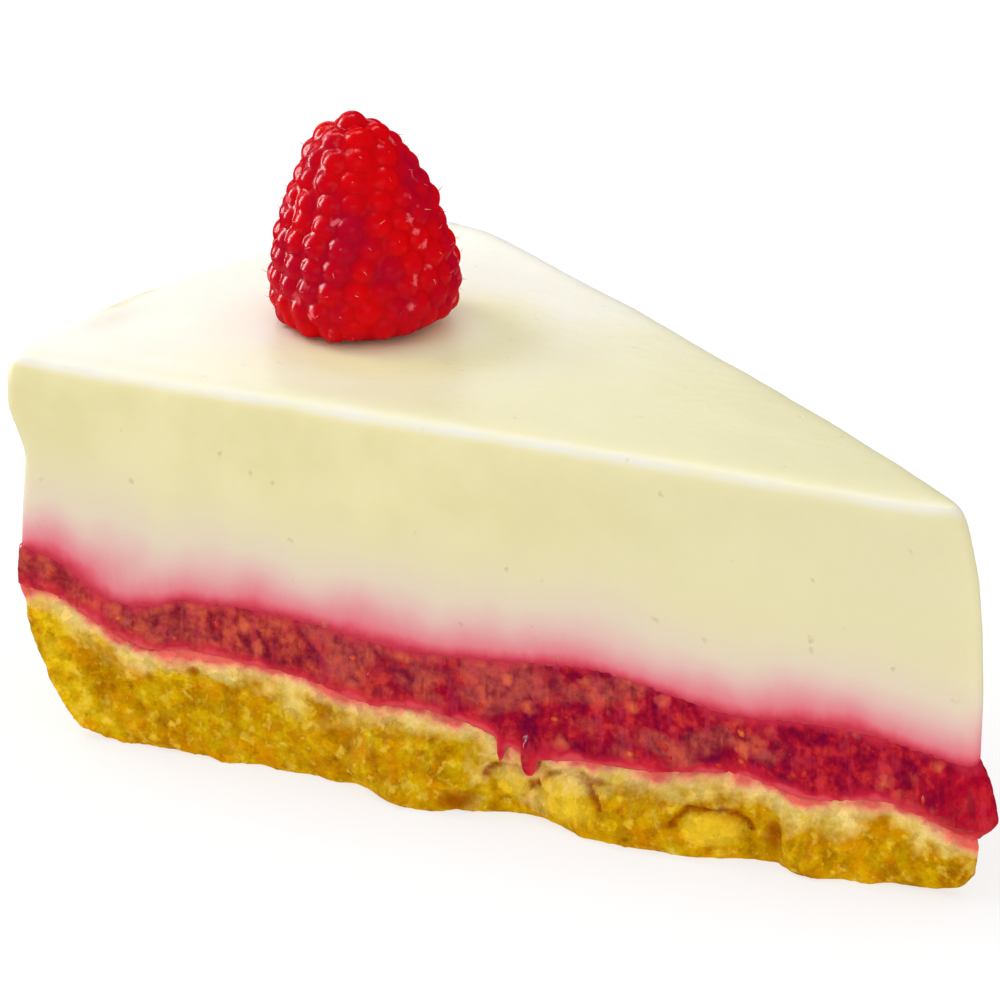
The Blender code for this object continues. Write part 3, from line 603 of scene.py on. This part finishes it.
# How far the skin turns upwards where it counts as the top, and as the rounded top edge that is painted as
# a highlight
TOP_FROM = 0.15
TOP_OVER = 0.6
HIGHLIGHT_EDGE_AT = 0.6
HIGHLIGHT_EDGE_WIDTH = 0.4
BERRY_FOOT = CAKE_CENTRE + Vector((-87.2, -0.4, 42.3)) * MM
BERRY_SHADOW_AT = BERRY_FOOT + Vector((5, 0, 0)) * MM
BERRY_SHADOW_REACH = (11 * MM, 18 * MM)
BERRY_SHADOW_FROM_RIM = (-36 * MM, -24 * MM)
RIM_PATCH_AT = Vector((-55.9, -15.5, 41.5)) * MM
RIM_PATCH_STRETCH = (1, 0.35, 1)
RIM_PATCH_REACH = (0.8 * MM, 3.0 * MM)
PALER_TO_TIP = (-10 * MM, 45 * MM)
HALF_LENGTH = 56 * MM
SHEEN_TO_FAR_SIDE = -0.6

cream = copy_of("cheesecake_cream", "cheesecake_cream_body")
lap(cream, 0, CREAM_LAP)
refine(cream, CREAM_GRAIN, CREAM_PASSES)
cream_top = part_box("cheesecake_cream")[1].z
near_top = [ease(1 - (cream_top - vertex.co.z) / EDGE_REACH) for vertex in cream.data.vertices]
weigh(cream, "edges", near_top)
use(cream, "SMOOTH", factor=0.5, iterations=EDGE_PASSES, vertex_group="edges")
from_filling = distances(cream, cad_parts["raspberry_filling"], STAIN_REACH)
note(cream, "stain", from_filling)
below_seam = distances(cream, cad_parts["cheesecake_cream"], CREAM_LAP)
tucked = []
for beside, below in zip(from_filling, below_seam):
    tucked.append(ease(1 - beside * MM / TUCK_BESIDE) * ease((below * MM - TUCK_FROM) / TUCK_OVER))
weigh(cream, "tucked", tucked)
use(cream, "DISPLACE", strength=-TUCK_DEPTH, mid_level=0, vertex_group="tucked")
weigh(cream, "open", [ease((distance * MM - FLUSH_REACH) / RIPPLE_SIZE) for distance in from_filling])
roughen(cream, RIPPLE_SIZE, RIPPLE_DEPTH, "open", "IMPROVED_PERLIN")
roughen(cream, DIMPLE_SIZE, DIMPLE_DEPTH, "open", "IMPROVED_PERLIN")
near_top = [ease(1 - (cream_top - vertex.co.z) / EDGE_REACH) for vertex in cream.data.vertices]
upwards = [vertex.normal.z * share for vertex, share in zip(cream.data.vertices, near_top)]
note(cream, "top", [ease((share - TOP_FROM) / TOP_OVER) for share in upwards])
note(cream, "painted_edge_highlight", [ease(1 - abs(share - HIGHLIGHT_EDGE_AT) / HIGHLIGHT_EDGE_WIDTH) for share in upwards])

custard = Finish(cream, "set_cream", Roughness=0.5, IOR=1.45)
custard.set(custard.shader, {
    "Specular IOR Level": 0.35,
    "Coat Weight": 0.1,
    "Coat Roughness": 0.3,
    "Subsurface Weight": 0.35,
    "Subsurface Radius": (1, 0.8, 0.45),
    "Subsurface Scale": 2.0 * MM,
})
cloudy = custard.noise(9 * MM, 3, 0.55)
plain = custard.ramp(cloudy, ((0.35, paint(229, 219, 163)), (0.65, paint(236, 227, 176))))
at = custard.add("SeparateXYZ", {"Vector": custard.place})
paler = custard.spread(at.outputs["X"], *PALER_TO_TIP, 0, 0.75)
plain = custard.mix(paler, plain, paint(228, 221, 180))
uneven = custard.wander(8 * MM, 1.3, 1.5, stretch=(1, 1, 0.5), shift=2)
dragged = custard.wander(1.6 * MM, 0.17, 3, 0.6, (1, 1, 0.6), 4)
above = custard.attribute("stain")
spread_out = custard.sums("MULTIPLY", uneven, custard.spread(above, 0, 4, 0.1, 1))
above = custard.sums("ADD", custard.sums("ADD", above, spread_out), dragged)
share = custard.sums("DIVIDE", above, STAIN_REACH / MM)
stain = custard.ramp(share, (
    (0.01, paint(210, 44, 70)),
    (0.035, paint(226, 84, 104)),
    (0.07, paint(230, 128, 138)),
    (0.13, paint(229, 160, 160)),
    (0.20, paint(230, 190, 180)),
    (0.30, paint(230, 212, 188)),
    (0.45, paint(231, 220, 182)),
    (0.75, paint(232, 222, 174)),
))
cream_colour = custard.mix(custard.spread(share, 0.4, 0.8), stain, plain)
# Painted sheen: the top is painted nearer white towards the rim and the far side, where the light's sheen
# lies.
towards_sheen = custard.sums("MULTIPLY_ADD", at.outputs["Y"], SHEEN_TO_FAR_SIDE, at.outputs["X"])
towards_sheen = custard.sums("ADD", towards_sheen, custard.wander(9 * MM, 5 * MM, shift=3))
painted_top_sheen = custard.ramp(custard.spread(towards_sheen, -HALF_LENGTH, HALF_LENGTH), (
    (0.1, paint(246, 243, 229)),
    (0.26, paint(242, 239, 221)),
    (0.38, paint(240, 235, 201)),
    (0.54, paint(236, 230, 186)),
    (0.9, paint(235, 228, 182)),
))
cream_colour = custard.mix(custard.attribute("top"), cream_colour, painted_top_sheen)
# Painted highlight: a pale band along the rounded top edge.
painted_edge_highlight = custard.sums("MULTIPLY", custard.attribute("painted_edge_highlight"), custard.spread(cloudy, 0.35, 0.6, 0.4, 1))
cream_colour = custard.mix(painted_edge_highlight, cream_colour, paint(232, 229, 219))
# Painted shadow: the cream where the berry shades it is painted more yellow and lighter.
by_berry = custard.distance_from(BERRY_SHADOW_AT)
painted_shadow_tint = custard.ramp(custard.spread(by_berry, 0, 20 * MM), (
    (0.4, paint(255, 255, 208)),
    (0.54, paint(244, 241, 186)),
    (0.7, paint(238, 232, 174)),
))
in_berry_shadow = custard.spread(by_berry, *BERRY_SHADOW_REACH, 0.9, 0)
in_berry_shadow = custard.sums("MULTIPLY", in_berry_shadow, custard.attribute("top"))
in_berry_shadow = custard.sums("MULTIPLY", in_berry_shadow, custard.spread(at.outputs["X"], *BERRY_SHADOW_FROM_RIM))
cream_colour = custard.mix(in_berry_shadow, cream_colour, painted_shadow_tint)
by_patch = custard.distance_from(RIM_PATCH_AT, RIM_PATCH_STRETCH)
by_patch = custard.sums("ADD", by_patch, custard.wander(9 * MM, MM, 3, 0.55))
tan_patch = custard.spread(by_patch, *RIM_PATCH_REACH, 0.9, 0)
cream_colour = custard.mix(tan_patch, cream_colour, paint(208, 194, 118))
bubbles = custard.spread(custard.cells(4.2 * MM, 1.5 * MM), 0.02, 0.1, 1, 0)
# Painted shade in the bubbles' pits, stronger on the cut faces than on the top.
painted_bubble_shade = custard.sums("MULTIPLY", bubbles, custard.spread(custard.attribute("top"), 0, 1, 0.4, 0.1))
cream_colour = custard.mix(painted_bubble_shade, cream_colour, paint(178, 154, 88))
skin_relief = custard.sums("SUBTRACT", custard.noise(1.6 * MM, 3), bubbles)
custard.set(custard.shader, {"Base Color": cream_colour, "Normal": custard.bump(skin_relief, 0.06 * MM)})
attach(cream, "root")
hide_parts("cheesecake_cream")

# The raspberry: a fresh whole berry that stands on its open end, a cone of drupelets in staggered rows.
# Each drupelet is a thin-skinned bead of juice with a soft bloom, fused to its neighbours, with painted
# shade in the crevices between them and painted glints on them.
BERRY_HEIGHT = 22.9 * MM
BERRY_LEAN = math.radians(4.4)
BERRY_LEAN_TOWARDS = math.radians(223.5)
BERRY_OUTLINE = ((-0.6, 6.9), (0.6, 9.0), (2.4, 10.0), (4.6, 10.2), (7.6, 9.75), (10.2, 9.15), (12.6, 8.4),
                 (14.8, 7.5), (17.1, 6.4), (19.3, 5.1), (21.2, 3.4), (22.4, 1.6), (22.9, 0))
LOWEST_ROW = 1.3 * MM
DRUPELET_RADIUS = 1.5 * MM
DRUPELET_SPACING = 2.65 * MM
DRUPELET_ROW = 2.35 * MM
DRUPELET_INSET = 1.35 * MM
DRUPELET_SIZES = (0.93, 1.08)
DRUPELET_SHIFT = 0.1
DRUPELET_LIFT = 0.22 * MM
DRUPELET_FULLNESS = 1.14
CREVICE_DEPTH = 0.5 * MM
ALONG_SIDE = 0.05 * MM
SLOPE_REACH = 0.2 * MM
CORE_FOOT = -0.4 * MM
CORE_TOP = BERRY_HEIGHT - 1.4 * MM
CORE_ENDS = 0.02
BERRY_SEED = 11
BERRY_GRAIN = 0.18 * MM
BERRY_PASSES = 9
RIPENESS_SEED = 4


def berry_radius(height):
    """The berry's outer radius at a height above its foot, on a smooth curve through its outline."""
    at = height / MM
    last = len(BERRY_OUTLINE) - 1
    if at <= BERRY_OUTLINE[0][0]:
        return BERRY_OUTLINE[0][1] * MM
    if at >= BERRY_OUTLINE[last][0]:
        return BERRY_OUTLINE[last][1] * MM
    start = bisect_right([place for place, _ in BERRY_OUTLINE], at) - 1

    def slope(i):
        before, after = BERRY_OUTLINE[max(i - 1, 0)], BERRY_OUTLINE[min(i + 1, last)]
        return (after[1] - before[1]) / (after[0] - before[0])

    (low, low_radius), (high, high_radius) = BERRY_OUTLINE[start], BERRY_OUTLINE[start + 1]
    width = high - low
    t = (at - low) / width
    radius = low_radius * (2 * t**3 - 3 * t**2 + 1) + high_radius * (3 * t**2 - 2 * t**3)
    radius += slope(start) * width * (t**3 - 2 * t**2 + t) + slope(start + 1) * width * (t**3 - t**2)
    return radius * MM


def berry_rows():
    """Heights of the rows of drupelets, a row's width apart along the berry's side."""
    height, travelled, rows = LOWEST_ROW, 0.0, [LOWEST_ROW]
    while height < BERRY_HEIGHT - DRUPELET_RADIUS:
        slope = (berry_radius(height + ALONG_SIDE) - berry_radius(height)) / ALONG_SIDE
        travelled += ALONG_SIDE * math.hypot(1, slope)
        height += ALONG_SIDE
        if travelled >= DRUPELET_ROW:
            rows.append(height)
            travelled = 0.0
    return rows


def drupelets():
    """Each drupelet as its middle, the way out and its size, in the berry's own upright place."""
    chance = random.Random(BERRY_SEED)
    found = []
    for row, height in enumerate(berry_rows()):
        narrows = berry_radius(height - SLOPE_REACH) - berry_radius(height + SLOPE_REACH)
        tilt = math.atan(narrows / (2 * SLOPE_REACH))
        middle_radius = berry_radius(height) - DRUPELET_INSET * math.cos(tilt)
        middle_height = height - DRUPELET_INSET * math.sin(tilt)
        count = max(3, round(math.tau * middle_radius / DRUPELET_SPACING))
        for i in range(count):
            shift = 0.5 * (row % 2) + chance.uniform(-DRUPELET_SHIFT, DRUPELET_SHIFT)
            angle = math.tau * (i + shift) / count
            size = DRUPELET_RADIUS * chance.uniform(*DRUPELET_SIZES)
            lift = chance.uniform(-DRUPELET_LIFT, DRUPELET_LIFT)
            around = Vector((math.cos(angle), math.sin(angle), 0))
            out = around * math.cos(tilt) + Vector((0, 0, 1)) * math.sin(tilt)
            found.append((around * middle_radius + Vector((0, 0, middle_height + lift)), out, size))
    found.append((Vector((0, 0, BERRY_HEIGHT - DRUPELET_RADIUS)), Vector((0, 0, 1)), DRUPELET_RADIUS))
    return found


towards = Vector((math.cos(BERRY_LEAN_TOWARDS), math.sin(BERRY_LEAN_TOWARDS), 0))
leaning = Matrix.Rotation(BERRY_LEAN, 4, Vector((0, 0, 1)).cross(towards))
berry_place = Matrix.Translation(BERRY_FOOT) @ leaning

bpy.ops.object.select_all(action="DESELECT")
bpy.ops.mesh.primitive_uv_sphere_add(segments=24, ring_count=14, radius=1)
bead = bpy.context.object
bead_places = []
for middle, out, size in drupelets():
    turn = out.to_track_quat("Z", "Y").to_matrix().to_4x4()
    inwards = Matrix.Translation(middle - out * size * (DRUPELET_FULLNESS - 1))
    bead_places.append(berry_place @ inwards @ turn @ Matrix.Scale(size * DRUPELET_FULLNESS, 4))
beads = copies(bead, bead_places, "beads")

bpy.ops.object.select_all(action="DESELECT")
bpy.ops.mesh.primitive_uv_sphere_add(segments=48, ring_count=40, radius=1)
core = bpy.context.object
for vertex in core.data.vertices:
    height = CORE_FOOT + (CORE_TOP - CORE_FOOT) * (vertex.co.z + 1) / 2
    taper = min(1, (1 - abs(vertex.co.z)) / CORE_ENDS)
    around = vertex.co.xy.normalized() * (berry_radius(height) - CREVICE_DEPTH) * taper
    vertex.co = Vector((*around, height))
core.data.transform(berry_place)

berry = join([core, beads], "raspberry_whole")
refine(berry, BERRY_GRAIN, BERRY_PASSES)
for vertex in berry.data.vertices:
    vertex.co.z = max(BERRY_FOOT.z, vertex.co.z)

chance = random.Random(RIPENESS_SEED)
middles = KDTree(len(bead_places))
ripeness = []
for index, (middle, _, _) in enumerate(drupelets()):
    middles.insert(berry_place @ middle, index)
    ripeness.append(chance.random())
middles.balance()
note(berry, "ripeness", [ripeness[middles.find(vertex.co)[1]] for vertex in berry.data.vertices])

juicy = Finish(berry, "raspberry_skin", Roughness=0.4, IOR=1.4)
juicy.set(juicy.shader, {
    "Specular IOR Level": 0.0,
    "Subsurface Weight": 0.25,
    "Subsurface Radius": (1, 0.05, 0.1),
    "Subsurface Scale": 1.2 * MM,
    "Coat Weight": 0.16,
    "Coat Roughness": 0.2,
})
ripe = juicy.blend_of((juicy.attribute("ripeness"), 0.07), (juicy.noise(6 * MM), 0.93))
skin_colour = juicy.ramp(ripe, (
    (0.38, paint(182, 0, 36)),
    (0.5, paint(200, 0, 20)),
    (0.62, paint(214, 0, 8)),
))
# Painted shade: the hollows between drupelets are painted darker, by how hollow the skin is.
hollow = juicy.add("NewGeometry").outputs["Pointiness"]
painted_crease_shade = juicy.ramp(hollow, ((0.42, paint(200, 150, 170)), (0.5, paint(255, 255, 255))))
skin_colour = juicy.mix(1.0, skin_colour, painted_crease_shade, "MULTIPLY")
# Painted glints: pale pink specks scattered over the drupelets.
pale_specks_and_glints = juicy.spread(juicy.cells(2.7 * MM, 1.6 * MM), 0.13, 0.24, 0.8, 0)
pale_specks_and_glints = juicy.sums("MULTIPLY", pale_specks_and_glints, juicy.spread(juicy.noise(5 * MM, 1, shift=3), 0.42, 0.52))
skin_colour = juicy.mix(pale_specks_and_glints, skin_colour, paint(236, 104, 116))
juicy.set(juicy.shader, {"Base Color": skin_colour, "Normal": juicy.bump(juicy.noise(0.5 * MM), 0.05 * MM)})
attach(berry, "root")
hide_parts("raspberry")

# The berry's styles: thin dry threads that the flower has left on most drupelets, but not at the point.
# Each is a bent, tapered hair in a pinkish straw colour, rooted in its drupelet.
STYLE_LENGTH = 1.0 * MM
STYLE_WIDTH = 0.1 * MM
STYLE_CURL = math.radians(50)
STYLE_TILT = 0.45
STYLES_ON = 0.6
BARE_AT_POINT = 3
STYLE_SIZES = (0.5, 1.0)
STYLE_ROOT = 0.2 * MM
STYLE_SEED = 8

bpy.ops.object.select_all(action="DESELECT")
thick, thin = STYLE_WIDTH / 2, STYLE_WIDTH / 8
bpy.ops.mesh.primitive_cone_add(vertices=4, radius1=thick, radius2=thin, depth=STYLE_LENGTH)
style = bpy.context.object
bpy.ops.object.mode_set(mode="EDIT")
bpy.ops.transform.translate(value=(0, 0, STYLE_LENGTH / 2))
bpy.ops.mesh.subdivide(number_cuts=3)
bpy.ops.object.mode_set(mode="OBJECT")
use(style, "SIMPLE_DEFORM", deform_method="BEND", angle=STYLE_CURL, deform_axis="X")
bpy.ops.object.shade_smooth()

chance = random.Random(STYLE_SEED)
style_places = []
for middle, out, size in drupelets()[:-BARE_AT_POINT]:
    grows = chance.random() < STYLES_ON
    lean = Vector([chance.uniform(-STYLE_TILT, STYLE_TILT) for _ in range(3)])
    length, spin = chance.uniform(*STYLE_SIZES), chance.uniform(0, math.tau)
    if not grows:
        continue
    turn = (out + lean).to_track_quat("Z", "Y").to_matrix().to_4x4() @ Matrix.Rotation(spin, 4, "Z")
    root = Matrix.Translation(middle + out * (size - STYLE_ROOT))
    style_places.append(berry_place @ root @ turn @ Matrix.Diagonal((1, 1, length, 1)))
styles = copies(style, style_places, "raspberry_styles")
straw = Finish(styles, "dry_thread", Roughness=0.5)
straw_colour = straw.ramp(straw.noise(2 * MM, 1), ((0.4, paint(206, 70, 66)), (0.6, paint(238, 170, 150))))
straw.set(straw.shader, {"Base Color": straw_colour})
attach(styles, "root")

# The table: a plain white surface that runs out of sight.
# It is bright in itself, so that the shadow stays faint.
TABLE_SIZE = 6.0
bpy.ops.object.select_all(action="DESELECT")
bpy.ops.mesh.primitive_plane_add(size=TABLE_SIZE)
table = bpy.context.object
table.name = "table"
Finish(table, "white_table", **{
    "Base Color": (0.35, 0.35, 0.35, 1),
    "Roughness": 0.9,
    "Specular IOR Level": 0.0,
    "Emission Color": (1, 1, 1, 1),
    "Emission Strength": 0.68,
})
table.visible_glossy = False

# The light: white all round, with a low window behind the slice and softer panels above and at the left.
# What shines sees a darker room than what is matt, so that the berry and filling keep their deep colours.
ROOM_LIGHT = 0.8
ROOM_IN_SHINE = 0.03
ROOM_SEEN = 1.0
room = bpy.data.worlds.new("room")
room.use_nodes = True
ray = room.node_tree.nodes.new("ShaderNodeLightPath")
level = ROOM_LIGHT
for output, brightness in (("Is Glossy Ray", ROOM_IN_SHINE), ("Is Camera Ray", ROOM_SEEN)):
    step = room.node_tree.nodes.new("ShaderNodeMath")
    step.operation = "MULTIPLY_ADD"
    step.inputs[1].default_value = brightness - ROOM_LIGHT
    room.node_tree.links.new(ray.outputs[output], step.inputs[0])
    if isinstance(level, float):
        step.inputs[2].default_value = level
    else:
        room.node_tree.links.new(level, step.inputs[2])
    level = step.outputs[0]
background = room.node_tree.nodes["Background"]
background.inputs["Color"].default_value = (1, 1, 1, 1)
room.node_tree.links.new(level, background.inputs["Strength"])
bpy.context.scene.world = room

CAMERA_TURN = math.radians(43.55)
CAMERA_RISE = math.radians(20.25)
to_right = Vector((math.cos(CAMERA_TURN), math.sin(CAMERA_TURN), 0))
to_back = Vector((-math.sin(CAMERA_TURN), math.cos(CAMERA_TURN), 0))
lit_place = Vector((0, 0, 30)) * MM


def window(name, right, back, up, width, height, brightness, shine_only=False):
    """A soft light, placed to the right of, behind and above the slice as the camera sees it, in metres."""
    lamp = bpy.data.lights.new(name, "AREA")
    lamp.shape = "RECTANGLE"
    lamp.size = width
    lamp.size_y = height
    lamp.energy = brightness * math.pi * width * height
    body = bpy.data.objects.new(name, lamp)
    body.location = lit_place + to_right * right + to_back * back + Vector((0, 0, up))
    body.rotation_euler = (lit_place - body.location).to_track_quat("-Z", "Y").to_euler()
    body.visible_diffuse = not shine_only
    bpy.context.scene.collection.objects.link(body)


window("key", -0.34, 0.2, 0.42, 0.22, 0.22, 6.5)
window("front_fill", 0.0, -0.6, 0.16, 0.5, 0.3, 1.2)
window("back_window", -0.16, 0.45, 0.17, 0.34, 0.24, 2.6, shine_only=True)
window("overhead_panel", -0.05, 0.14, 0.5, 0.3, 0.12, 14.0, shine_only=True)
window("left_panel", -0.5, 0.2, 0.14, 0.16, 0.4, 46.0, shine_only=True)

# The camera: a long lens, turned and raised as in the photograph.
# It looks at a point just inside the near cut, which puts the slice in the frame as it is there.
CAMERA_AIM = Vector((4.46, -17.0, 34.99)) * MM
CAMERA_DISTANCE = 814.5 * MM
CAMERA_LENS = 288
CAMERA_SENSOR = 36
CAMERA_CLIP = (0.05, 30)
camera = bpy.data.cameras.new("camera")
camera.lens = CAMERA_LENS
camera.sensor_width = CAMERA_SENSOR
camera.clip_start, camera.clip_end = CAMERA_CLIP
viewpoint = bpy.data.objects.new("camera", camera)
to_camera = -to_back * math.cos(CAMERA_RISE) + Vector((0, 0, 1)) * math.sin(CAMERA_RISE)
viewpoint.location = CAMERA_AIM + to_camera * CAMERA_DISTANCE
viewpoint.rotation_euler = (CAMERA_AIM - viewpoint.location).to_track_quat("-Z", "Y").to_euler()
bpy.context.scene.collection.objects.link(viewpoint)
bpy.context.scene.camera = viewpoint
bpy.context.scene.view_settings.view_transform = "Standard"
